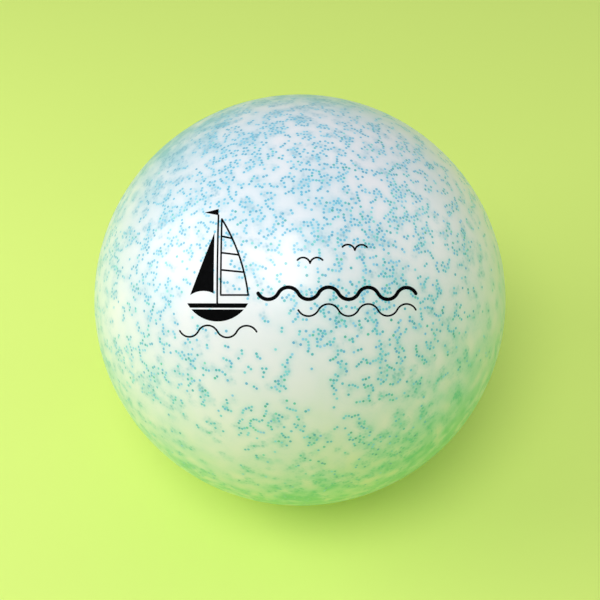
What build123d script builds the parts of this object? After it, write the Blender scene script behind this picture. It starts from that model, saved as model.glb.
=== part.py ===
"""Inflatable beach ball: one seamless vinyl skin with moulded-in glitter and a push-in safety valve.

The ball rests on the small flat that its own weight presses into the soft skin.
Frame: origin at the centre of that flat, +Z up, the valve on +Y, the printed motif facing -Y and up.
All sizes are in millimetres.
"""

from build123d import *
import math
import os

# ---- ball ----
ball_diameter = 300.0
skin_wall = 0.6
contact_diameter = 28.0  # the flat that the soft ball rests on

# ---- glitter ----
flake_across_flats = 1.6
flake_thickness = 0.1
flakes_per_colour = 110
flake_colours = ("sky_blue", "turquoise", "sea_green")
flake_clear_of_valve = 6.0  # bare skin left round the bonded flange
flake_clear_of_floor = 6.0

# ---- printed motif ----
print_elevation = 52.0  # degrees above the horizon, seen from the ball's centre
ink_thickness = 0.06
boat_deck = (-50.0, -2.0)  # across and up, on the plane that faces the print
mast_height = 54.0  # above the deck
hull_length = 38.0
hull_depth = 11.0
stripe_drop = 3.2  # from the deck to the bare stripe along the hull
stripe_width = 1.0
pennant_length = 9.0
pennant_width = 4.0
sail_foot = 19.0
sail_set_off = 2.2  # between the mast and each sail
sail_belly = (0.78, 0.45)  # where the mainsail's free edge bulges, as shares of its foot and the mast
batten_places = (0.28, 0.5, 0.72)  # along the mainsail's free edge
batten_slope = 1.5
boom_height = 5.0
jib_rise = 0.8  # share of the mast that the jib reaches up
jib_reach = 0.9  # how far the jib reaches forward, as a share of the mainsail's foot
jib_foot_arch = 2.5  # above the boom, at the middle of the jib's foot
jib_clew_rise = 1.0  # above the boom, at the mast
fine_line = 1.1
wave_line = 2.2
wave_pitch = 24.0
wave_rise = 3.6
# Each row of waves: where it starts, how many waves it has and how wide its line is.
wave_rows = (
    ((-25.0, 4.0), 4, wave_line),
    ((-1.0, -6.0), 3, fine_line),
    ((-74.0, -19.0), 2, fine_line),
)
gull_span = 15.0
gull_elbow = (0.55, 0.45)  # across and up to the arch of each wing, as shares of half the span
gull_tip_rise = 0.25  # height of the wing's tip, as a share of half the span
gull_centres = ((6.0, 22.0), (33.0, 30.0))

# ---- valve ----
bore_diameter = 7.0
mouth_flare = 1.6  # how much wider than the bore the stem's mouth is
mouth_depth = 2.6
stem_wall = 1.7
head_diameter = 12.8
head_thickness = 1.4
head_set_back = 0.5  # how far the closed head lies below the ball's surface
head_dish_depth = 0.4
head_rim_width = 1.4
head_edge_round = 0.35
seat_gap = 0.1  # between the head and the stem's rim
plug_clearance = 0.1  # radial, at the mouth
plug_length = 5.0
plug_tip_gap = 1.5  # between the plug's tip and the bore, so that it swings out freely
tab_length = 2.8
tab_width = 5.0
tab_thickness = 0.9
tab_corner = 2.0

well_gap = 3.8  # between the head and the wall of the well
collar_wall = 1.0
collar_depth = 2.4  # from the ball's surface to the bottom of the collar
flange_width = 8.0
flange_thickness = 0.8

stem_travel = 14.0
web_thickness = 0.5
web_clearance = 0.1  # between the web and the stem's foot
foot_overhang = 1.0
foot_thickness = 1.2
tail_length = 3.0
tail_wall = 1.3

strap_width = 3.4
strap_thickness = 0.8
strap_ring_width = 0.8
strap_ring_height = 1.2
strap_web_gap = 0.6  # between the strap and the web that it bows out along
hinge_radius = 0.45
hinge_offset = 1.6  # from the head's edge to the hinge line
hinge_clearance = 0.15

flap_thickness = 0.6
flap_gap = 0.05
flap_overlap = 1.1
flap_hinge_width = 4.0

# ---- worked out from the values above ----
ball_radius = ball_diameter / 2
centre_height = math.sqrt(ball_radius**2 - (contact_diameter / 2) ** 2)
ball_centre = Vector(0, 0, centre_height)
bore_radius = bore_diameter / 2
mouth_radius = bore_radius + mouth_flare / 2
stem_radius = bore_radius + stem_wall
head_radius = head_diameter / 2
well_radius = head_radius + well_gap
hole_radius = well_radius + collar_wall
flange_radius = hole_radius + flange_width
foot_radius = stem_radius + foot_overhang
tail_radius = bore_radius + tail_wall
flap_radius = bore_radius + flap_overlap

# Levels along the valve's axis, counted outward from the ball's surface.
head_top = -head_set_back
head_bottom = head_top - head_thickness
stem_rim = head_bottom - seat_gap
hinge_level = head_top - head_thickness / 2
collar_bottom = -collar_depth
web_rim_bottom = collar_bottom - web_thickness
foot_top = web_rim_bottom - stem_travel / 2 + foot_thickness / 2
foot_bottom = foot_top - foot_thickness
tail_end = foot_bottom - tail_length
flap_face = tail_end - flap_gap
hinge_across = head_radius + hinge_offset

# The valve's own frame: local X is up, local Z points out of the ball.
valve_plane = Plane(
    origin=(0, ball_radius, centre_height), x_dir=(0, 0, 1), z_dir=(0, 1, 0)
)
# The plane that the print is drawn on: local X across, local Y up, facing out.
print_tilt = math.radians(print_elevation)
print_plane = Plane(
    origin=tuple(ball_centre),
    x_dir=(1, 0, 0),
    z_dir=(0, -math.cos(print_tilt), math.sin(print_tilt)),
)


def sphere_level(across, radius):
    """Level of a sphere about the ball's centre, at a distance across from the valve's axis."""
    return math.sqrt(radius**2 - across**2) - ball_radius


def ring(outer, inner, low, high):
    """A plain ring about the valve's axis, in the valve's own frame."""
    body = Cylinder(outer, high - low, align=(Align.CENTER, Align.CENTER, Align.MIN))
    hole = Cylinder(inner, high - low, align=(Align.CENTER, Align.CENTER, Align.MIN))
    return Pos(0, 0, low) * (body - hole)


def turned(*outline):
    """The solid that an outline of (across, level) points sweeps about the valve's axis."""
    face = Plane.XZ * make_face(Polyline(*outline, close=True))
    return revolve(face, Axis.Z)


def on_valve(shape):
    """Moves a shape from the valve's own frame into the ball's frame."""
    return valve_plane * shape


# ---- ball ----


def flattened_ball(radius, floor):
    """A ball about the ball's centre, cut flat at the height of floor."""
    ball = Pos(*ball_centre) * Sphere(radius)
    below = Pos(0, 0, floor) * Box(
        2 * radius,
        2 * radius,
        2 * radius,
        align=(Align.CENTER, Align.CENTER, Align.MAX),
    )
    return ball - below


def ball_skin():
    """The seamless skin: a hollow ball with one round hole for the valve."""
    outer = flattened_ball(ball_radius, 0)
    inner = flattened_ball(ball_radius - skin_wall, skin_wall)
    wall_depth = skin_wall - sphere_level(hole_radius, ball_radius)
    hole = on_valve(Cylinder(hole_radius, 4 * wall_depth))
    return outer - inner - hole


# ---- glitter ----


def flake_directions():
    """Evenly spread directions from the ball's centre, clear of the valve and the floor."""
    total = flakes_per_colour * len(flake_colours)
    golden_angle = math.pi * (3 - math.sqrt(5))
    valve_clear = math.cos((flange_radius + flake_clear_of_valve) / ball_radius)
    floor_clear = math.cos((contact_diameter / 2 + flake_clear_of_floor) / ball_radius)
    for number in range(total):
        up = 1 - (2 * number + 1) / total
        flat = math.sqrt(1 - up * up)
        turn = golden_angle * number
        way = Vector(flat * math.cos(turn), flat * math.sin(turn), up)
        if way.Y < valve_clear and -way.Z < floor_clear:
            yield number, way


def glitter(colour):
    """The moulded-in flakes of one colour: six-sided discs at the middle of the skin's wall."""
    flake = extrude(
        RegularPolygon(flake_across_flats / 2, 6, major_radius=False),
        flake_thickness / 2,
        both=True,
    )
    depth = ball_radius - skin_wall / 2
    turn = flake_colours.index(colour)
    flakes = [
        Plane(origin=tuple(ball_centre + way * depth), z_dir=tuple(way)) * flake
        for number, way in flake_directions()
        if number % len(flake_colours) == turn
    ]
    return Compound(children=flakes)


# ---- printed motif ----


def stroke(line, width):
    """A pen line of constant width with round ends."""
    ends = [Pos(*point) * Circle(width / 2) for point in (line @ 0, line @ 1)]
    return Sketch() + trace(line, width) + ends


def boat():
    """A line-drawn sailing boat: a hull, a mast, an outlined mainsail with battens and a solid jib."""
    bow = (-hull_length / 2, 0)
    stern = (hull_length / 2, 0)
    hull = make_face([Line(bow, stern), ThreePointArc(stern, (0, -hull_depth), bow)])
    stripe = Line((bow[0], -stripe_drop), (stern[0], -stripe_drop))
    hull = Sketch() + hull - trace(stripe, stripe_width)
    mast = stroke(Line((0, 0), (0, mast_height)), fine_line)
    pennant_tip = (-pennant_length, mast_height + pennant_width / 2)
    pennant = make_face(
        Polyline((0, mast_height), (0, mast_height + pennant_width), pennant_tip, close=True)
    )
    tack = (sail_set_off, boom_height)
    clew = (sail_foot, boom_height)
    head = (sail_set_off, mast_height - boom_height / 2)
    belly = (sail_foot * sail_belly[0], mast_height * sail_belly[1])
    leech = ThreePointArc(clew, belly, head)
    main_sail = [stroke(line, fine_line) for line in (leech, Line(head, tack), Line(tack, clew))]
    batten_ends = [leech @ place for place in batten_places]
    battens = [
        stroke(Line((sail_set_off, end.Y + batten_slope), tuple(end)), fine_line)
        for end in batten_ends
    ]
    jib_head = (-sail_set_off, mast_height * jib_rise)
    jib_tack = (-sail_foot * jib_reach, boom_height)
    jib_clew = (-sail_set_off, boom_height + jib_clew_rise)
    jib_foot_middle = (jib_tack[0] / 2, boom_height + jib_foot_arch)
    jib = make_face(
        [
            Line(jib_head, jib_tack),
            ThreePointArc(jib_tack, jib_foot_middle, jib_clew),
            Line(jib_clew, jib_head),
        ]
    )
    return Pos(*boat_deck) * (hull + mast + pennant + main_sail + battens + jib)


def wave_row(start, count, width):
    """A line of waves: a chain of arcs that turn up and down in turn."""
    line = Curve()
    half = wave_pitch / 2
    for number in range(2 * count):
        left = start[0] + half * number
        rise = wave_rise if number % 2 else -wave_rise
        line += ThreePointArc(
            (left, start[1]), (left + half / 2, start[1] + rise), (left + half, start[1])
        )
    return Sketch() + [stroke(arc, width) for arc in line.edges()]


def gull(centre):
    """A flying gull, as two arched strokes that meet."""
    half = gull_span / 2
    across, up = half * gull_elbow[0], half * gull_elbow[1]
    tip_rise = half * gull_tip_rise
    wings = [
        ThreePointArc((0, 0), (side * across, up), (side * half, tip_rise)) for side in (-1, 1)
    ]
    return Pos(*centre) * (Sketch() + [stroke(wing, fine_line) for wing in wings])


def printed_motif():
    """The ink of the print: strokes pushed through the skin, kept only as a thin layer on it."""
    drawing = [
        boat(),
        *[wave_row(*row) for row in wave_rows],
        *[gull(centre) for centre in gull_centres],
    ]
    ink = Pos(*ball_centre) * (Sphere(ball_radius + ink_thickness) - Sphere(ball_radius))
    pieces = []
    for sketch in drawing:
        column = extrude(print_plane * sketch, ball_diameter)
        pieces += (column & ink).solids()
    return Compound(children=pieces)


# ---- valve ----


def valve_flange():
    """The collar that lines the skin's hole, and the flange bonded to the skin's inside face."""
    bonded = ball_radius - skin_wall
    under = bonded - flange_thickness
    middle = (hole_radius + flange_radius) / 2
    outline = [
        Polyline(
            (well_radius, collar_bottom),
            (well_radius, sphere_level(hole_radius, ball_radius)),
            (hole_radius, sphere_level(hole_radius, ball_radius)),
            (hole_radius, sphere_level(hole_radius, bonded)),
        ),
        ThreePointArc(
            (hole_radius, sphere_level(hole_radius, bonded)),
            (middle, sphere_level(middle, bonded)),
            (flange_radius, sphere_level(flange_radius, bonded)),
        ),
        Line(
            (flange_radius, sphere_level(flange_radius, bonded)),
            (flange_radius, sphere_level(flange_radius, under)),
        ),
        ThreePointArc(
            (flange_radius, sphere_level(flange_radius, under)),
            (middle, sphere_level(middle, under)),
            (hole_radius, sphere_level(hole_radius, under)),
        ),
        Polyline(
            (hole_radius, sphere_level(hole_radius, under)),
            (hole_radius, collar_bottom),
            (well_radius, collar_bottom),
        ),
    ]
    face = Plane.XZ * make_face(outline)
    return on_valve(revolve(face, Axis.Z))


def web_inside(level):
    """How far the web's inner face is from the valve's axis, at a level."""
    narrow = foot_radius + web_clearance
    foot_face = (foot_top + foot_bottom + web_thickness) / 2
    return narrow + (well_radius - narrow) * (level - foot_face) / (collar_bottom - foot_face)


def valve_web():
    """The thin cone that joins the collar to the stem's foot and turns inside out as the stem moves."""
    inner = foot_radius + web_clearance
    foot_level = foot_bottom + foot_thickness / 2
    return on_valve(
        turned(
            (hole_radius, collar_bottom),
            (hole_radius, web_rim_bottom),
            (well_radius - web_thickness / 2, web_rim_bottom),
            (inner, foot_level - web_thickness / 2),
            (inner, foot_level + web_thickness / 2),
            (well_radius, collar_bottom),
        )
    )


def valve_stem():
    """The blow-in tube, with a foot that the web joins and a tail that the flap closes."""
    return on_valve(
        turned(
            (bore_radius, tail_end),
            (tail_radius, tail_end),
            (tail_radius, foot_bottom),
            (foot_radius, foot_bottom),
            (foot_radius, foot_top),
            (stem_radius, foot_top),
            (stem_radius, stem_rim),
            (mouth_radius, stem_rim),
            (bore_radius, stem_rim - mouth_depth),
        )
    )


def stopper():
    """The stopper: a dished head with a pull tab, a tapered plug and a lug towards the hinge."""
    head = Pos(0, 0, head_bottom) * Cylinder(
        head_radius, head_thickness, align=(Align.CENTER, Align.CENTER, Align.MIN)
    )
    head = fillet(head.edges(), head_edge_round)
    dish = Pos(0, 0, head_top - head_dish_depth) * Cylinder(
        head_radius - head_rim_width,
        head_thickness,
        align=(Align.CENTER, Align.CENTER, Align.MIN),
    )
    plug_top = mouth_radius - plug_clearance
    plug = turned(
        (0, stem_rim - plug_length),
        (bore_radius - plug_tip_gap, stem_rim - plug_length),
        (plug_top, stem_rim),
        (plug_top, hinge_level),
        (0, hinge_level),
    )
    tab = Pos(head_radius, 0, hinge_level) * Box(
        2 * tab_length, tab_width, tab_thickness
    )
    tab = fillet(tab.edges().filter_by(Axis.Z).group_by(Axis.X)[-1], tab_corner)
    lug_reach = hinge_offset - hinge_radius - hinge_clearance
    lug = Pos(-head_radius, 0, hinge_level) * Box(
        2 * lug_reach, strap_width, strap_thickness
    )
    return on_valve(head - dish + plug + tab + lug)


def stopper_strap():
    """The tether: a ring on the stem, and a strap that bows up to the bead the stopper turns on."""
    ring_low = foot_top + strap_ring_height + web_thickness
    ring_middle = ring_low + strap_ring_height / 2
    ring_outer = stem_radius + strap_ring_width
    collar = ring(ring_outer, stem_radius, ring_low, ring_low + strap_ring_height)
    set_in = strap_web_gap + strap_thickness / 2
    low_bend = ring_middle + strap_thickness / 2
    high_bend = (ring_middle + hinge_level) / 2 + strap_thickness
    route = FilletPolyline(
        (-ring_outer + strap_ring_width / 2, ring_middle),
        (set_in - web_inside(low_bend), low_bend),
        (set_in - web_inside(high_bend), high_bend),
        (-hinge_across, hinge_level),
        radius=strap_thickness,
    )
    arm = extrude(Plane.XZ * trace(route, strap_thickness), strap_width / 2, both=True)
    bead = Pos(-hinge_across, 0, hinge_level) * Rot(90, 0, 0) * Cylinder(
        hinge_radius, strap_width
    )
    stem_space = Cylinder(stem_radius, 2 * abs(foot_top))
    return on_valve(collar + (arm - stem_space) + bead)


def check_flap():
    """The film flap that shuts the stem's inner end, with the bead that it turns on."""
    flap = Pos(0, 0, flap_face - flap_thickness) * Cylinder(
        flap_radius, flap_thickness, align=(Align.CENTER, Align.CENTER, Align.MIN)
    )
    hinge_middle = flap_face - flap_thickness / 2
    bead = Pos(flap_radius, 0, hinge_middle) * Rot(90, 0, 0) * Cylinder(
        flap_thickness / 2, flap_hinge_width
    )
    return on_valve(flap + bead)


def main():
    """Writes one STEP file for each piece."""
    os.makedirs("parts", exist_ok=True)
    pieces = {
        "ball_skin": ball_skin(),
        "printed_motif": printed_motif(),
        "valve_flange": valve_flange(),
        "valve_web": valve_web(),
        "valve_stem": valve_stem(),
        "stopper": stopper(),
        "stopper_strap": stopper_strap(),
        "check_flap": check_flap(),
    }
    for colour in flake_colours:
        pieces["glitter_" + colour] = glitter(colour)
    for name, piece in pieces.items():
        export_step(piece, f"parts/{name}.step")
        print(name, len(piece.solids()), "solids", round(piece.volume, 1), "mm3")


main()
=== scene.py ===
import math
import random
from itertools import product

import bmesh
import bpy
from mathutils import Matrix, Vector, kdtree, noise


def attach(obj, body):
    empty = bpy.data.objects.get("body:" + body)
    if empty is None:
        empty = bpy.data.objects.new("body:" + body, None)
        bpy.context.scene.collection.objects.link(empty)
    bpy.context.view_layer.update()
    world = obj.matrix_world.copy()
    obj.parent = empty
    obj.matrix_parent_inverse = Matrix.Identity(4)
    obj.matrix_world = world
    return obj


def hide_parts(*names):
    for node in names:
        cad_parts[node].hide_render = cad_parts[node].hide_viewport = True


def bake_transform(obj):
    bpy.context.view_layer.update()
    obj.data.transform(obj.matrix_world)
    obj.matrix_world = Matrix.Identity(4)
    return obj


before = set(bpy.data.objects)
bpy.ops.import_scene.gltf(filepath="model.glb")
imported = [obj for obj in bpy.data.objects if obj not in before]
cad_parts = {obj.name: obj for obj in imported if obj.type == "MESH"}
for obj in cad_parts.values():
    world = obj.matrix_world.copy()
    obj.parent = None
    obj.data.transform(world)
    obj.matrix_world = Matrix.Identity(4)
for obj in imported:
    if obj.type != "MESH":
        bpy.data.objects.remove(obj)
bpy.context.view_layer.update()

mm = 0.001
sharpAngle = math.radians(40)  # edges that fold more than this are shaded as creases

# the ball stands on a small flat at the origin, and its valve looks along +Y
ball = {
    "radius": 150 * mm,
    "wall": 0.6 * mm,
    "flatRadius": 14 * mm,
    "flatBlend": 0.05 * mm,  # how softly the skin turns into the flat
    "holeRadius": 11.2 * mm,
    "weldRadius": 16.6 * mm,  # middle of the faint ring where the flange is bonded underneath
    "weldWidth": 2.6 * mm,
    "weldHeight": 0.12 * mm,
    "rings": 190,
    "innerRings": 80,
    "ringCrowding": 1.12,  # over 1, the rings are closer together round the valve
    "segments": 336,
}
radius = ball["radius"]
centreHeight = math.sqrt(radius ** 2 - ball["flatRadius"] ** 2)
centre = Vector((0, 0, centreHeight))


def linear(red, green, blue):
    # screen colour 0-255 to the linear values that shaders want
    def one(value):
        value = value / 255
        return value / 12.92 if value <= 0.04045 else ((value + 0.055) / 1.055) ** 2.4
    return (one(red), one(green), one(blue), 1.0)


def onValve(across, level, turn=0.0):
    # a point in the valve's own terms: distance from its axis, height above the skin, turn round it
    return Vector((
        across * math.sin(turn),
        radius + level,
        centreHeight + across * math.cos(turn),
    ))


def finishMesh(name, bm):
    bmesh.ops.recalc_face_normals(bm, faces=bm.faces)
    for face in bm.faces:
        face.smooth = True
    for edge in bm.edges:
        if len(edge.link_faces) == 2 and edge.calc_face_angle(0) > sharpAngle:
            edge.smooth = False
    mesh = bpy.data.meshes.new(name)
    bm.to_mesh(mesh)
    bm.free()
    piece = bpy.data.objects.new(name, mesh)
    bpy.context.scene.collection.objects.link(piece)
    return piece


def turnProfile(bm, profile, segments):
    # sweeps a closed loop of (across, level) points round the valve's axis
    onAxis = 1e-7
    turns = [2 * math.pi * k / segments for k in range(segments)]
    rings = []
    for across, level in profile:
        if across < onAxis:
            rings.append([bm.verts.new(onValve(0, level))])
        else:
            rings.append([bm.verts.new(onValve(across, level, turn)) for turn in turns])
    for one, two in zip(rings, rings[1:] + rings[:1]):
        for k in range(segments):
            after = (k + 1) % segments
            if len(one) == 1 and len(two) == 1:
                continue
            if len(one) == 1:
                bm.faces.new((one[0], two[k], two[after]))
            elif len(two) == 1:
                bm.faces.new((one[k], two[0], one[after]))
            else:
                bm.faces.new((one[k], two[k], two[after], one[after]))


class Shader:
    # a Principled material with short calls for the nodes used here
    def __init__(self, name, **sockets):
        self.material = bpy.data.materials.new(name)
        self.material.use_nodes = True
        self.tree = self.material.node_tree
        self.main = self.tree.nodes["Principled BSDF"]
        for socket, value in sockets.items():
            self.main.inputs[socket.replace("_", " ")].default_value = value
        self.place = self.add("ShaderNodeTexCoord").outputs["Object"]

    def add(self, kind, **settings):
        node = self.tree.nodes.new(kind)
        for key, value in settings.items():
            setattr(node, key, value)
        return node

    def join(self, source, target):
        self.tree.links.new(source, target)

    def noise(self, scale, detail=2.0, rough=0.5, distortion=0.0):
        node = self.add("ShaderNodeTexNoise")
        node.inputs["Scale"].default_value = scale
        node.inputs["Detail"].default_value = detail
        node.inputs["Roughness"].default_value = rough
        node.inputs["Distortion"].default_value = distortion
        self.join(self.place, node.inputs["Vector"])
        return node.outputs["Fac"]

    def remap(self, value, low, high, toLow=0.0, toHigh=1.0):
        node = self.add("ShaderNodeMapRange", interpolation_type="SMOOTHSTEP")
        ends = {"From Min": low, "From Max": high, "To Min": toLow, "To Max": toHigh}
        for socket, number in ends.items():
            node.inputs[socket].default_value = number
        self.join(value, node.inputs["Value"])
        return node.outputs["Result"]

    def math(self, operation, one, two=0.0):
        node = self.add("ShaderNodeMath", operation=operation)
        for socket, value in zip(node.inputs, (one, two)):
            if isinstance(value, (int, float)):
                socket.default_value = value
            else:
                self.join(value, socket)
        return node.outputs["Value"]

    def mix(self, factor, one, two):
        node = self.add("ShaderNodeMix", data_type="RGBA")
        for name, kind, value in (("Factor", "VALUE", factor), ("A", "RGBA", one), ("B", "RGBA", two)):
            target = [s for s in node.inputs if s.name == name and s.type == kind][0]
            if isinstance(value, (int, float, tuple)):
                target.default_value = value
            else:
                self.join(value, target)
        return [s for s in node.outputs if s.type == "RGBA"][0]

    def bump(self, height, distance, strength=1.0):
        node = self.add("ShaderNodeBump")
        node.inputs["Distance"].default_value = distance
        node.inputs["Strength"].default_value = strength
        self.join(height, node.inputs["Height"])
        self.join(node.outputs["Normal"], self.main.inputs["Normal"])

    def stored(self, name):
        # a number that the mesh carries at each point
        return self.add("ShaderNodeAttribute", attribute_name=name).outputs["Fac"]

    def along(self, direction, low, high):
        # 0 to 1 from low to high, measured through the ball's centre along a direction
        way = Vector(direction).normalized()
        dot = self.add("ShaderNodeVectorMath", operation="DOT_PRODUCT")
        dot.inputs[1].default_value = way
        self.join(self.place, dot.inputs[0])
        middle = way.dot(centre)
        return self.remap(dot.outputs["Value"], middle + low, middle + high)


def paint(piece, material):
    piece.data.materials.clear()
    piece.data.materials.append(material)


# the camera comes first, so that everything else can be judged through it
shot = {
    "elevation": 52.0,  # degrees above the horizon
    "distance": 745 * mm,  # from the ball's centre
    "lens": 60.0,
}


def makeCamera():
    data = bpy.data.cameras.new("camera")
    data.lens = shot["lens"]
    camera = bpy.data.objects.new("camera", data)
    bpy.context.scene.collection.objects.link(camera)
    lift = math.radians(shot["elevation"])
    back = Vector((0, -math.cos(lift), math.sin(lift)))
    camera.location = centre + back * shot["distance"]
    camera.rotation_euler = (-back).to_track_quat("-Z", "Y").to_euler()
    bpy.context.scene.camera = camera


makeCamera()
print("camera set")

# the glitter is scattered before the skin is made, because the skin is tinted round it
glitter = {
    "count": 13300,  # crisp and deep flakes together
    "acrossFlats": 1.6 * mm,
    "proud": 0.025 * mm,  # flake faces stand this far above the milk
    "sunk": 0.05 * mm,
    "spacing": 1.72 * mm,
    "sizeRange": (0.95, 1.06),
    "chainSteps": (0, 0, 1, 1, 2, 3, 5),  # how many more flakes may stick to one that lands
    "chainStride": (1.03, 1.3),  # in spacings
    "chainWobble": 0.7,  # how much a chain's heading changes at each step, in radians
    "mostTries": 600000,
    "clearOfValve": 13.0 * mm,
    "clearOfFloor": 15.0 * mm,
    "seed": 41,
    "usualDensity": 0.34,
    "usualDeepShare": 0.12,
    # where flakes gathered or stayed away as the ball was spun:
    # direction from the centre, reach in degrees, and how much denser (over 1) or barer (under 1)
    "drifts": [
        ((-0.10, -0.06, 1.0), 30, 4.2),
        ((0.29, -0.34, 0.90), 12, 1.7),
        ((0.58, -0.30, 0.76), 16, 2.2),
        ((-0.49, -0.21, 0.85), 10, 1.6),
        ((0.25, -0.65, 0.72), 13, 1.8),
        ((-0.62, -0.62, 0.48), 17, 1.7),
        ((-0.24, -0.90, 0.36), 11, 1.6),
        ((0.34, -0.90, 0.28), 9, 1.8),
        ((0.68, -0.72, -0.15), 22, 2.6),
        ((0.0, -0.97, -0.24), 20, 2.0),
        ((-0.64, 0.36, 0.68), 16, 2.2),
        ((0.0, 0.62, 0.78), 15, 2.0),
        ((-0.20, -0.72, 0.66), 12, 0.06),
        ((-0.48, -0.52, 0.71), 8, 0.4),
        ((-0.30, -0.95, 0.05), 12, 0.3),
        ((-0.55, -0.83, 0.08), 15, 0.35),
        ((0.62, -0.76, 0.20), 13, 0.4),
        ((0.80, -0.58, 0.15), 15, 0.2),
        ((0.90, -0.28, 0.36), 17, 0.25),
        ((-0.55, 0.75, 0.35), 24, 1.6),
        ((0.45, 0.85, 0.25), 16, 0.3),
        ((0.60, 0.55, -0.5), 22, 1.5),
    ],
    # where the flakes lie deeper in the milk and only show as soft spots:
    # direction, reach in degrees, share of them that is deep
    "deepZones": [
        ((0.68, -0.72, -0.15), 30, 1.0),
        ((0.0, -0.98, -0.20), 26, 0.8),
        ((-0.68, -0.70, -0.20), 22, 0.8),
        ((-0.50, -0.84, 0.10), 18, 0.7),
        ((0.93, -0.23, 0.30), 20, 0.9),
        ((-0.66, 0.28, 0.70), 17, 1.0),
        ((0.0, 0.58, 0.81), 17, 0.9),
        ((-0.95, -0.19, 0.24), 14, 0.7),
        ((0.30, 0.60, -0.70), 30, 0.9),
        ((-0.75, 0.60, -0.20), 22, 0.8),
        ((0.75, 0.60, 0.25), 18, 0.8),
    ],
    # where they lie so thick that the milk is washed with their colour; these patches ring the rim
    # seen from the camera, where they are partly painted shade and, low down, painted green floor
    # bounce: direction, reach, strength
    "washesAndRimShade": [
        ((-0.62, 0.58, 0.53), 29, 1.0),
        ((-0.96, 0.12, 0.16), 19, 0.75),
        ((0.05, 0.80, 0.60), 24, 1.0),
        ((0.73, -0.64, -0.18), 32, 1.0),
        ((0.0, -0.93, -0.38), 25, 0.9),
        ((-0.60, -0.72, -0.35), 24, 0.9),
        ((-0.88, -0.42, -0.04), 16, 0.75),
        ((0.97, -0.14, 0.08), 19, 0.7),
        ((0.35, 0.55, -0.75), 30, 0.9),
    ],
    "hazeReach": 2.3 * mm,  # how far a flake tints the milk round it
    # how much glitter close by gives the full tint, for the haze and for the soft spots
    "fullHaze": 3.4,
    "fullDeep": 1.3,
    # along the tint axis: bluer flakes above the first, greener below the second, mixed by the third;
    # the greener flakes on the floor side partly stand for painted green bounce light
    "blueFrom": 0.40,
    "greenTo": -0.16,
    "shadeMixing": 0.26,
    # noise patterns in the scatter: how fine each is, and its own offset
    "patterns": {
        "broad": (5.0, Vector((3.1, 7.7, 1.9))),
        "clumps": (16.0, Vector((11.2, 4.5, 8.3))),
        "chains": (12.0, Vector((6.6, 1.3, 5.2))),
        "grains": (36.0, Vector((2.5, 9.1, 6.4))),
    },
}


def zoneWeight(way, toward, reach):
    apart = way.angle(Vector(toward)) / math.radians(reach)
    return math.exp(-apart * apart)


def clamped(value):
    return max(0.0, min(1.0, value))


def pattern(name, way):
    fineness, offset = glitter["patterns"][name]
    return noise.noise(way * fineness + offset)


def driftDensity(way):
    # broad drifts first, then chains and clumps a few flakes wide with bare milk between them
    dense = glitter["usualDensity"]
    for toward, reach, factor in glitter["drifts"]:
        dense *= 1 + (factor - 1) * zoneWeight(way, toward, reach)
    dense *= 1 + 0.8 * pattern("broad", way)
    clump = clamped(0.05 + 3.2 * pattern("clumps", way))
    chain = clamped(1.15 - 9.0 * abs(pattern("chains", way)))
    grain = clamped(0.45 + 2.6 * pattern("grains", way))
    return dense * (0.07 + max(clump, 0.8 * chain) * (0.2 + 0.8 * grain))


def deepShare(way):
    share = glitter["usualDeepShare"]
    for toward, reach, most in glitter["deepZones"]:
        share = max(share, most * clamped(1.5 * zoneWeight(way, toward, reach)))
    return share


def bareSpot(point):
    # no flakes beside the valve's hole or on the flat
    if point.y > 0 and math.hypot(point.x, point.z) < glitter["clearOfValve"]:
        return True
    return point.z < 0 and math.hypot(point.x, point.y) < glitter["clearOfFloor"]


def crowded(placed, cell, point):
    # whether another flake already lies too close, looking in this cell and the cells round it
    for step in product((-1, 0, 1), repeat=3):
        near = placed.get(tuple(c + s for c, s in zip(cell, step)), ())
        if any((other - point).length < glitter["spacing"] for other in near):
            return True
    return False


def scatterFlakes():
    # flakes stick to one another, so each one that lands may start a short, crooked chain
    dice = random.Random(glitter["seed"])
    spacing = glitter["spacing"]
    placed = {}
    crisp, deep = [], []

    def land(way):
        point = way * radius
        cell = tuple(int(math.floor(c / spacing)) for c in point)
        if bareSpot(point) or crowded(placed, cell, point):
            return False
        placed.setdefault(cell, []).append(point)
        spin = dice.uniform(0, math.pi / 3)
        size = dice.uniform(*glitter["sizeRange"])
        tone = dice.random()
        layer = deep if dice.random() < deepShare(way) else crisp
        layer.append((way, spin, size, tone))
        return True

    tries = 0
    while len(crisp) + len(deep) < glitter["count"] and tries < glitter["mostTries"]:
        tries += 1
        up = dice.uniform(-1, 1)
        turn = dice.uniform(0, 2 * math.pi)
        flat = math.sqrt(1 - up * up)
        way = Vector((flat * math.cos(turn), flat * math.sin(turn), up))
        density = driftDensity(way)
        if dice.random() > density or not land(way):
            continue
        heading = dice.uniform(0, 2 * math.pi)
        for _ in range(dice.choice(glitter["chainSteps"])):
            heading += dice.gauss(0, glitter["chainWobble"])
            side = way.orthogonal().normalized()
            other = way.cross(side)
            step = spacing * dice.uniform(*glitter["chainStride"]) / radius
            way = (way + (side * math.cos(heading) + other * math.sin(heading)) * step).normalized()
            if not land(way):
                break
    print("glitter scattered:", len(crisp), "crisp and", len(deep), "deep flakes")
    return crisp, deep


crispFlakes, deepFlakes = scatterFlakes()
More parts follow.
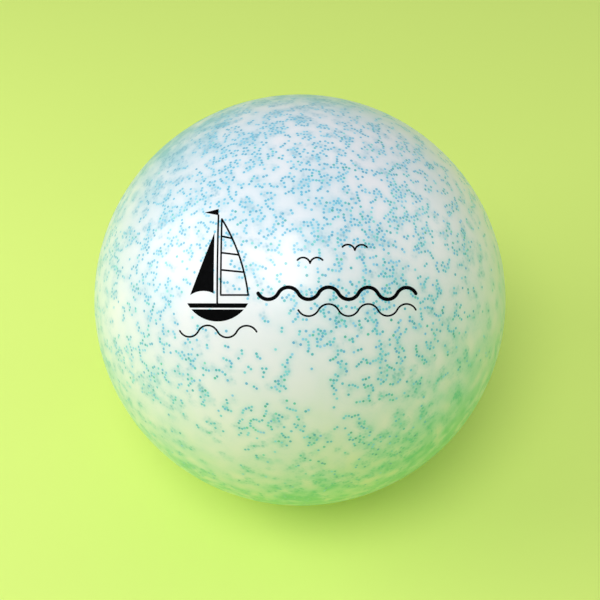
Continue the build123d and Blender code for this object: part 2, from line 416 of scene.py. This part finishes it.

# the same clear, slightly velvety surface lies over the milk and the flakes; its sheen is tinted green
# as a painted reflection of the lime floor
clearCoatAndGreenSheen = {
    "Coat_Weight": 1.0,
    "Coat_Roughness": 0.36,
    "Coat_IOR": 1.5,
    "Sheen_Weight": 0.1,
    "Sheen_Roughness": 0.45,
    "Sheen_Tint": linear(150, 214, 150),
}
skinLook = {
    "milk": linear(240, 240, 244),
    "coolMilk": linear(228, 236, 242),
    # the greener milk is partly the vinyl's own tint and partly painted green bounce light from the
    # floor
    "greenMilkAndFloorBounce": linear(232, 242, 198),
    "hazeBlue": linear(142, 206, 224),
    "hazeGreen": linear(88, 220, 160),
    "hazeStrength": 0.92,
    # the wash colours are partly dense glitter and partly painted shade on the rim (blue) and painted
    # green floor bounce (green)
    "washAndShadeBlue": linear(122, 194, 212),
    "washAndBounceGreen": linear(64, 210, 132),
    "cloudScale": 16.0,
    "deepBlue": linear(92, 174, 202),
    "deepGreen": linear(52, 206, 150),
    "deepFlakeScale": 430.0,  # cells per metre of the softly seen, deeper flakes
    "deepFlakeStrength": 0.85,
    # the greener side is partly painted green bounce light from the floor
    "tintAndBounceAxis": (-0.45, 0.32, 0.83),  # the way from the greener side to the bluer one
}


def weldRise(across):
    # the faint swelling over the bonded flange
    away = (across - ball["weldRadius"]) / ball["weldWidth"]
    return ball["weldHeight"] * math.exp(-away * away)


def settle(point, floorLevel):
    # turns the ball's underside softly into its flat
    soft = ball["flatBlend"]
    rise = point.z - floorLevel
    point.z = floorLevel + (rise + math.sqrt(rise * rise + soft * soft)) / 2
    return point


def flakeTree(flakes):
    # for looking up the flakes near a point
    tree = kdtree.KDTree(len(flakes))
    for number, flake in enumerate(flakes):
        tree.insert(flake[0] * radius, number)
    tree.balance()
    return tree


def hazeRound(tree, way, full):
    # how much glitter lies close by, 0 to 1, leaving out what is too far off to count
    reach = glitter["hazeReach"]
    total = 0.0
    for _, _, apart in tree.find_range(way * radius, 2.2 * reach):
        total += math.exp(-(apart / reach) ** 2)
    return clamped(total / full)


def washAndRimShadeAt(way):
    # how strongly the milk is washed with colour here, in soft patches: partly dense glitter, partly
    # painted rim shade and green floor bounce
    zones = [most * zoneWeight(way, toward, reach) for toward, reach, most in glitter["washesAndRimShade"]]
    return max(zones) * clamped(0.8 + 0.9 * noise.noise(way * 14.0))


def tintSkin(mesh):
    everyFlake, deepOnly = flakeTree(crispFlakes + deepFlakes), flakeTree(deepFlakes)
    hazeAndRimShade, deep = [], []
    for vert in mesh.vertices:
        way = (vert.co - centre).normalized()
        washAndRimShade = washAndRimShadeAt(way)
        # the wash, added to both haze and deep, is partly dense glitter and partly painted rim shade
        # and green floor bounce
        hazeAndRimShade.append(clamped(0.6 * hazeRound(everyFlake, way, glitter["fullHaze"]) + washAndRimShade))
        deep.append(clamped(hazeRound(deepOnly, way, glitter["fullDeep"]) + 0.5 * washAndRimShade))
    mesh.attributes.new("hazeAndRimShade", "FLOAT", "POINT").data.foreach_set("value", hazeAndRimShade)
    mesh.attributes.new("deep", "FLOAT", "POINT").data.foreach_set("value", deep)


def ringAngles(steps):
    # angles from the valve's axis, from the hole's edge to the far side of the ball
    edge = math.asin(ball["holeRadius"] / radius)
    shares = [(k / steps) ** ball["ringCrowding"] for k in range(steps + 1)]
    return [edge + (math.pi - edge) * share for share in shares]


def makeSkin():
    inside = radius - ball["wall"]
    outer, inner = [], []
    for angle in ringAngles(ball["rings"]):
        rise = weldRise(radius * math.sin(angle)) if angle < math.pi / 2 else 0.0
        reach = radius + rise
        outer.append((reach * math.sin(angle), reach * math.cos(angle) - radius))
    for angle in ringAngles(ball["innerRings"]):
        inner.append((inside * math.sin(angle), inside * math.cos(angle) - radius))
    # the inner wall starts straight under the hole's edge
    inner[0] = (ball["holeRadius"], math.sqrt(inside ** 2 - ball["holeRadius"] ** 2) - radius)
    bm = bmesh.new()
    turnProfile(bm, outer + inner[::-1], ball["segments"])
    for vert in bm.verts:
        fromCentre = (vert.co - centre).length
        outside = fromCentre > radius - ball["wall"] / 2
        vert.co = settle(vert.co, 0.0 if outside else ball["wall"])
    piece = finishMesh("milky_skin", bm)
    tintSkin(piece.data)
    return piece


def milkyVinyl():
    look = skinLook
    s = Shader("milky glitter vinyl", Roughness=0.42, IOR=1.5, **clearCoatAndGreenSheen)
    # the greener end of this gradient, used for the milk, haze, wash and soft spot colours, is partly
    # painted green bounce light from the floor
    up = s.along(look["tintAndBounceAxis"], -90 * mm, 110 * mm)
    clouds = s.remap(s.noise(look["cloudScale"], 3.0, 0.55, 0.6), 0.36, 0.66)
    down = s.math("MULTIPLY", s.math("SUBTRACT", 1.0, up), s.remap(clouds, 0.0, 1.0, 0.75, 1.0))
    ground = s.mix(down, s.mix(clouds, look["milk"], look["coolMilk"]), look["greenMilkAndFloorBounce"])
    # the milk takes up colour round the flakes, and in the washes, which are partly painted rim shade
    # and green floor bounce
    hazeAndRimShade = s.math("MULTIPLY", s.stored("hazeAndRimShade"), look["hazeStrength"])
    thick = s.remap(hazeAndRimShade, 0.4, 1.0)
    hazeColour = s.mix(up, look["hazeGreen"], look["hazeBlue"])
    washAndRimShadeColour = s.mix(up, look["washAndBounceGreen"], look["washAndShadeBlue"])
    hazy = s.mix(hazeAndRimShade, ground, s.mix(thick, hazeColour, washAndRimShadeColour))
    # deeper flakes show through it as soft spots
    cells = s.add("ShaderNodeTexVoronoi")
    cells.inputs["Scale"].default_value = look["deepFlakeScale"]
    s.join(s.place, cells.inputs["Vector"])
    spots = s.remap(cells.outputs["Distance"], 0.66, 0.2, 0.25, 1.0)
    patches = s.remap(s.noise(120.0, 3.0, 0.6), 0.4, 0.6, 0.12, 1.0)
    deep = s.math("MULTIPLY", s.stored("deep"), look["deepFlakeStrength"])
    shown = s.math("MULTIPLY", s.math("MULTIPLY", spots, patches), deep)
    spotted = s.mix(shown, hazy, s.mix(up, look["deepGreen"], look["deepBlue"]))
    s.join(spotted, s.main.inputs["Base Color"])
    s.join(s.remap(s.noise(60.0, 3.0), 0.3, 0.7, 0.36, 0.5), s.main.inputs["Roughness"])
    s.bump(s.noise(420.0, 2.0, 0.5), 0.02 * mm, 0.5)
    return s.material


skin = makeSkin()
paint(skin, milkyVinyl())
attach(skin, "ball")
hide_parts("ball_skin")
print("skin:", len(skin.data.polygons), "faces")


def makeFlakes(name, flakes):
    # thin six-sided discs, all in one mesh, with a tone of its own stored on each
    points, faces, tones = [], [], []
    for way, spin, size, tone in flakes:
        side = way.orthogonal().normalized()
        other = way.cross(side)
        reach = glitter["acrossFlats"] * size / math.sqrt(3)
        first = len(points)
        for depth in (radius + glitter["proud"], radius - glitter["sunk"]):
            for k in range(6):
                turn = spin + k * math.pi / 3
                point = way * depth + (side * math.cos(turn) + other * math.sin(turn)) * reach
                if point.y > 0:
                    # flakes near the valve lift with the weld ring
                    point += way * weldRise(math.hypot(point.x, point.z))
                points.append(centre + point)
        faces.append([first + k for k in range(6)])
        faces.append([first + 6 + k for k in reversed(range(6))])
        for k in range(6):
            after = (k + 1) % 6
            faces.append([first + k, first + 6 + k, first + 6 + after, first + after])
        tones += [tone] * 12
    mesh = bpy.data.meshes.new(name)
    mesh.from_pydata(points, [], faces)
    mesh.attributes.new("tone", "FLOAT", "POINT").data.foreach_set("value", tones)
    piece = bpy.data.objects.new(name, mesh)
    bpy.context.scene.collection.objects.link(piece)
    return piece


def flakeFilm(name, base, pale, dark):
    # dyed film: each flake has its own tone, and a fine mottling under the gloss
    s = Shader(name, IOR=1.5, Roughness=0.35, **clearCoatAndGreenSheen)
    tone = s.stored("tone")
    lighter = s.mix(s.remap(tone, 0.45, 1.0), base, pale)
    varied = s.mix(s.remap(tone, 0.35, 0.0), lighter, dark)
    mottle = s.remap(s.noise(900.0, 2.0), 0.35, 0.7, 0.0, 0.25)
    s.join(s.mix(mottle, varied, pale), s.main.inputs["Base Color"])
    s.join(s.remap(s.noise(700.0), 0.3, 0.7, 0.28, 0.42), s.main.inputs["Roughness"])
    return s.material


# base, pale and dark tone of each shade
shades = {
    "glitter_sky_blue": (linear(106, 192, 220), linear(150, 216, 236), linear(92, 174, 204)),
    "glitter_turquoise": (linear(94, 198, 202), linear(138, 222, 222), linear(76, 176, 180)),
    "glitter_sea_green": (linear(94, 202, 174), linear(134, 224, 196), linear(74, 178, 154)),
}


def sortShades(flakes):
    # bluer on one side of the ball, greener on the other, mixed everywhere; the greener side partly
    # stands for painted green bounce light from the floor
    byShade = {name: [] for name in shades}
    dice = random.Random(glitter["seed"] + 1)
    axis = Vector(skinLook["tintAndBounceAxis"]).normalized()
    for flake in flakes:
        up = flake[0].dot(axis) + dice.gauss(0, glitter["shadeMixing"])
        if up > glitter["blueFrom"]:
            byShade["glitter_sky_blue"].append(flake)
        elif up > glitter["greenTo"]:
            byShade["glitter_turquoise"].append(flake)
        else:
            byShade["glitter_sea_green"].append(flake)
    return byShade


for name, flakes in sortShades(crispFlakes).items():
    piece = makeFlakes(name.replace("glitter", "flakes"), flakes)
    paint(piece, flakeFilm(name.replace("_", " ") + " film", *shades[name]))
    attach(piece, "ball")
    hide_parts(name)
    print(piece.name, len(flakes), "flakes")


# the printed motif keeps the shape of its CAD film
def printInk():
    s = Shader("black print ink", Roughness=0.6, Specular_IOR_Level=0.03)
    thin = s.remap(s.noise(260.0, 3.0, 0.6), 0.5, 0.85, 0.0, 0.5)
    s.join(s.mix(thin, linear(3, 3, 4), linear(16, 17, 21)), s.main.inputs["Base Color"])
    s.join(s.remap(s.noise(500.0), 0.3, 0.7, 0.55, 0.7), s.main.inputs["Roughness"])
    return s.material


paint(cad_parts["printed_motif"], printInk())
print("motif inked")

# the valve's main sizes are those of its CAD nodes
valve = {
    "wellRadius": 10.2 * mm,
    "webRim": -2.4 * mm,
    "webLap": 0.2 * mm,  # how far the web starts under the collar
    "webThickness": 0.5 * mm,
    "webSteps": 24,
    "webSegments": 72,
    "footRadius": 6.3 * mm,
    "footLevel": -9.9 * mm,
    "stemRadius": 5.2 * mm,
    "strapRingLow": -7.6 * mm,
    "strapRingHeight": 1.2 * mm,
    "strapRingWidth": 0.8 * mm,
    "strapWidth": 3.3 * mm,  # a little inside the stopper's lug, where it ends
    "strapThickness": 0.74 * mm,
    "strapEdge": 0.22 * mm,
    "strapSteps": 14,  # rings of points between two corners of its route
    "ringEdge": 0.2 * mm,
    "ringSegments": 64,
    "hingeThinning": 0.66,  # share of the strap's thickness that is missing at the living hinge
    "hingeLength": 0.6 * mm,
    "hingeAcross": -8.0 * mm,
    "hingeLevel": -1.2 * mm,
}


def valveVinyl(name, tone, shade):
    s = Shader(name, Roughness=0.38, Coat_Weight=0.35, Coat_Roughness=0.25, IOR=1.48)
    worn = s.remap(s.noise(150.0, 3.0, 0.55), 0.4, 0.7)
    fine = s.remap(s.noise(900.0, 2.0), 0.4, 0.7, 0.0, 0.3)
    s.join(s.mix(fine, s.mix(worn, tone, shade), tone), s.main.inputs["Base Color"])
    s.join(s.remap(s.noise(600.0), 0.3, 0.7, 0.32, 0.46), s.main.inputs["Roughness"])
    s.bump(s.noise(1400.0, 2.0), 0.015 * mm, 0.5)
    return s.material


def makeWeb():
    # a soft cone from the collar down to the stem's foot, with rounded turns at both ends
    half = valve["webThickness"] / 2
    wide, narrow = valve["wellRadius"] + valve["webLap"], valve["footRadius"]
    high, low = valve["webRim"] - half, valve["footLevel"]
    top, bottom = [], []
    for k in range(valve["webSteps"] + 1):
        t = k / valve["webSteps"]
        ease = t * t * (3 - 2 * t)
        across = wide + (narrow - wide) * t
        level = high + (low - high) * (0.35 * t + 0.65 * ease)
        top.append((across, level + half))
        bottom.append((across, level - half))
    rim = ball["holeRadius"]
    profile = [(rim, high + half), *top, *bottom[::-1], (rim, high - half)]
    bm = bmesh.new()
    turnProfile(bm, profile, valve["webSegments"])
    return finishMesh("valve_web_soft", bm)


web = makeWeb()
paint(web, valveVinyl("soft web vinyl", linear(214, 232, 236), linear(196, 222, 228)))
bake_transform(web)
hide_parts("valve_web")


def strapCentreline():
    # up from the ring, out along the well, and in over the hinge to the stopper's lug
    low = valve["strapRingLow"] + valve["strapRingHeight"] / 2
    ringOut = valve["stemRadius"] + valve["strapRingWidth"]
    hinge = Vector((valve["hingeAcross"], valve["hingeLevel"]))
    return [
        Vector((-valve["stemRadius"] - 0.1 * mm, low)),
        Vector((-ringOut - 0.7 * mm, low + 0.3 * mm)),
        Vector((-8.5 * mm, -4.6 * mm)),
        Vector((-8.9 * mm, -2.6 * mm)),
        hinge + Vector((-0.15 * mm, 0.0)),
        hinge + Vector((1.1 * mm, 0.0)),
    ]


def smoothLine(corners, steps):
    # a Catmull-Rom curve through the corners
    path = []
    for k in range(len(corners) - 1):
        before = corners[max(k - 1, 0)]
        one, two = corners[k], corners[k + 1]
        after = corners[min(k + 2, len(corners) - 1)]
        for step in range(steps):
            t = step / steps
            path.append(0.5 * (
                2 * one + (two - before) * t
                + (2 * before - 5 * one + 4 * two - after) * t * t
                + (3 * one - before - 3 * two + after) * t ** 3
            ))
    path.append(corners[-1])
    return path


def makeStrapRing(bm):
    # sits just clear of the stem, with softened outer edges
    low, high = valve["strapRingLow"], valve["strapRingLow"] + valve["strapRingHeight"]
    inner = valve["stemRadius"] + 0.02 * mm
    outer = inner + valve["strapRingWidth"]
    soft = valve["ringEdge"]
    turnProfile(bm, [
        (inner, low), (outer - soft, low), (outer, low + soft),
        (outer, high - soft), (outer - soft, high), (inner, high),
    ], valve["ringSegments"])


def makeStrap():
    bm = bmesh.new()
    makeStrapRing(bm)
    # the strap itself is a flat band with rounded edges
    corners = strapCentreline()
    path = smoothLine(corners, valve["strapSteps"])
    half, thin, soft = valve["strapWidth"] / 2, valve["strapThickness"] / 2, valve["strapEdge"]
    section = [
        (half - soft, thin), (half, thin - soft), (half, soft - thin), (half - soft, -thin),
        (soft - half, -thin), (-half, soft - thin), (-half, thin - soft), (soft - half, thin),
    ]
    rings = []
    for k, spot in enumerate(path):
        ahead = path[min(k + 1, len(path) - 1)] - path[max(k - 1, 0)]
        ahead.normalize()
        out = Vector((-ahead.y, ahead.x))
        # the band is thinnest at the living hinge
        fromHinge = (spot - corners[4]).length / valve["hingeLength"]
        slim = 1 - valve["hingeThinning"] * math.exp(-fromHinge * fromHinge)
        ring = []
        for wide, thick in section:
            flat = spot + out * thick * slim
            ring.append(bm.verts.new((wide, radius + flat.y, centreHeight + flat.x)))
        rings.append(ring)
    for one, two in zip(rings, rings[1:]):
        for k in range(len(section)):
            after = (k + 1) % len(section)
            bm.faces.new((one[k], two[k], two[after], one[after]))
    bm.faces.new(rings[0])
    bm.faces.new(rings[-1][::-1])
    return finishMesh("stopper_strap_soft", bm)


clearVinyl = valveVinyl("clear valve vinyl", linear(226, 238, 240), linear(206, 226, 230))
strap = makeStrap()
paint(strap, clearVinyl)
# the bend climbs with the strap, so that the ring round the stem stays clear of it
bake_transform(strap)
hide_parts("stopper_strap")
for name in ("valve_flange", "valve_stem", "stopper"):
    paint(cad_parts[name], clearVinyl)
flapFilm = valveVinyl("flap film", linear(220, 236, 240), linear(204, 226, 232))
paint(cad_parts["check_flap"], flapFilm)
print("valve dressed")

# a plain pale floor and three soft boxes
studio = {
    "floor": linear(222, 246, 122),
    "floorSize": 24.0,
    "air": linear(236, 242, 246),
    "airStrength": 0.42,
    # direction from the ball, distance, size and power of each soft box
    "softBoxes": [
        ("key", (-0.85, -0.02, 0.52), 1.35, 1.0, 7.3),
        ("fill", (0.80, 0.25, 0.50), 1.6, 1.2, 2.8),
        ("front", (-0.16, -0.40, 1.0), 1.8, 0.9, 14.2),
    ],
}


def makeStudio():
    bm = bmesh.new()
    bmesh.ops.create_grid(bm, x_segments=2, y_segments=2, size=studio["floorSize"] / 2)
    floor = finishMesh("floor", bm)
    s = Shader("plain floor", Roughness=0.75)
    s.main.inputs["Base Color"].default_value = studio["floor"]
    paint(floor, s.material)
    world = bpy.data.worlds.new("studio air")
    world.use_nodes = True
    air = world.node_tree.nodes["Background"]
    air.inputs["Color"].default_value = studio["air"]
    air.inputs["Strength"].default_value = studio["airStrength"]
    bpy.context.scene.world = world
    for name, toward, distance, size, power in studio["softBoxes"]:
        light = bpy.data.lights.new(name, "AREA")
        light.shape = "DISK"
        light.size = size
        light.energy = power
        box = bpy.data.objects.new(name, light)
        bpy.context.scene.collection.objects.link(box)
        way = Vector(toward).normalized()
        box.location = centre + way * distance
        box.rotation_euler = way.to_track_quat("Z", "Y").to_euler()


makeStudio()
bpy.context.scene.view_settings.view_transform = "Standard"
print("studio lit")
